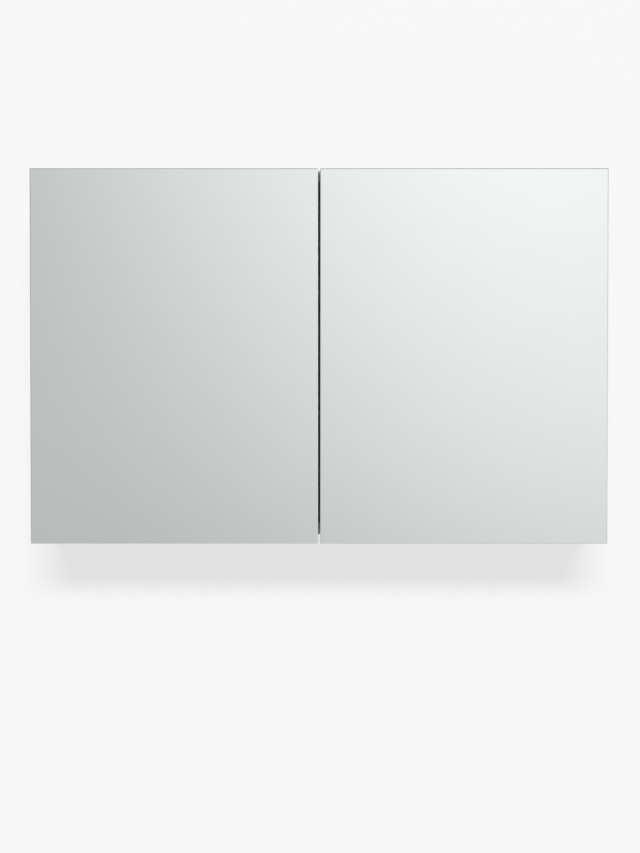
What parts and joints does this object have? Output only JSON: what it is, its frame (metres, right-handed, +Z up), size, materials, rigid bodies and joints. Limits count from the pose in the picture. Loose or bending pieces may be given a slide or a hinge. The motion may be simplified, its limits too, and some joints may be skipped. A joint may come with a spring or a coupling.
{
  "type": "mirrored medicine cabinet",
  "caption": "Wall-hung bathroom medicine cabinet with two handle-free mirrored doors on concealed hinges and glass shelves inside.",
  "frame": {"origin": "centre of the back panel's rear face, on the wall plane", "axes": "+X to the right as seen from the front, +Y into the wall, +Z up; the doors face -Y"},
  "size_m": [0.8, 0.1295, 0.521],
  "materials": {
    "white_foil_board": "white satin foil on fibreboard",
    "silvered_mirror": "silvered float glass, polished edges",
    "clear_glass": "clear, polished edges",
    "nickel_plated_steel": "bright nickel",
    "zinc_plated_steel": "zinc plated",
    "clear_bumper": "translucent matte"
  },
  "bodies": {
    "cabinet": {"top_panel": "white_foil_board", "bottom_panel": "white_foil_board", "back_panel": "white_foil_board", "lower_glass_shelf": "clear_glass", "upper_glass_shelf": "clear_glass", "left_side_panel": "white_foil_board", "left_lower_shelf_pin_rear": "nickel_plated_steel", "left_lower_shelf_pin_front": "nickel_plated_steel", "left_upper_shelf_pin_rear": "nickel_plated_steel", "left_upper_shelf_pin_front": "nickel_plated_steel", "left_hanger_body": "zinc_plated_steel", "left_hanger_hook": "zinc_plated_steel", "left_wall_plate": "zinc_plated_steel", "left_lower_bumper": "clear_bumper", "left_upper_bumper": "clear_bumper", "left_lower_hinge_plate": "nickel_plated_steel", "left_lower_hinge_arm": "nickel_plated_steel", "left_upper_hinge_plate": "nickel_plated_steel", "left_upper_hinge_arm": "nickel_plated_steel", "right_side_panel": "white_foil_board", "right_lower_shelf_pin_rear": "nickel_plated_steel", "right_lower_shelf_pin_front": "nickel_plated_steel", "right_upper_shelf_pin_rear": "nickel_plated_steel", "right_upper_shelf_pin_front": "nickel_plated_steel", "right_hanger_body": "zinc_plated_steel", "right_hanger_hook": "zinc_plated_steel", "right_wall_plate": "zinc_plated_steel", "right_lower_bumper": "clear_bumper", "right_upper_bumper": "clear_bumper", "right_lower_hinge_plate": "nickel_plated_steel", "right_lower_hinge_arm": "nickel_plated_steel", "right_upper_hinge_plate": "nickel_plated_steel", "right_upper_hinge_arm": "nickel_plated_steel"},
    "left_outer_links": {"left_lower_hinge_outer_link": "nickel_plated_steel", "left_upper_hinge_outer_link": "nickel_plated_steel"},
    "left_inner_links": {"left_lower_hinge_inner_link": "nickel_plated_steel", "left_upper_hinge_inner_link": "nickel_plated_steel"},
    "left_door": {"left_door_core": "white_foil_board", "left_door_outer_mirror": "silvered_mirror", "left_door_inner_mirror": "silvered_mirror", "left_lower_hinge_cup": "nickel_plated_steel", "left_upper_hinge_cup": "nickel_plated_steel"},
    "right_outer_links": {"right_lower_hinge_outer_link": "nickel_plated_steel", "right_upper_hinge_outer_link": "nickel_plated_steel"},
    "right_inner_links": {"right_lower_hinge_inner_link": "nickel_plated_steel", "right_upper_hinge_inner_link": "nickel_plated_steel"},
    "right_door": {"right_door_core": "white_foil_board", "right_door_outer_mirror": "silvered_mirror", "right_door_inner_mirror": "silvered_mirror", "right_lower_hinge_cup": "nickel_plated_steel", "right_upper_hinge_cup": "nickel_plated_steel"}
  },
  "joints": [
    {"name": "left_outer_link_swing", "type": "hinge", "parent": "cabinet", "child": "left_outer_links", "pos_m": [-0.3695, -0.0947, 0], "axis": [0, 0, -1], "range_deg": [-35, 0]},
    {"name": "left_door_swing", "type": "hinge", "parent": "left_outer_links", "child": "left_door", "pos_m": [-0.3925, -0.1142, 0], "axis": [0, 0, -1], "range_deg": [0, 140]},
    {"name": "left_inner_link_swing", "type": "hinge", "parent": "cabinet", "child": "left_inner_links", "pos_m": [-0.355, -0.1042, 0], "axis": [0, 0, -1], "range_deg": [-32, 0]},
    {"name": "right_outer_link_swing", "type": "hinge", "parent": "cabinet", "child": "right_outer_links", "pos_m": [0.3695, -0.0947, 0], "axis": [0, 0, 1], "range_deg": [-35, 0]},
    {"name": "right_door_swing", "type": "hinge", "parent": "right_outer_links", "child": "right_door", "pos_m": [0.3925, -0.1142, 0], "axis": [0, 0, 1], "range_deg": [0, 140]},
    {"name": "right_inner_link_swing", "type": "hinge", "parent": "cabinet", "child": "right_inner_links", "pos_m": [0.355, -0.1042, 0], "axis": [0, 0, 1], "range_deg": [-32, 0]}
  ],
  "couplings": [
    {"joint": "left_outer_link_swing", "follows": "left_door_swing", "ratio": -0.25},
    {"joint": "left_inner_link_swing", "follows": "left_door_swing", "ratio": -0.2285},
    {"joint": "right_outer_link_swing", "follows": "right_door_swing", "ratio": -0.25},
    {"joint": "right_inner_link_swing", "follows": "right_door_swing", "ratio": -0.2285}
  ]
}
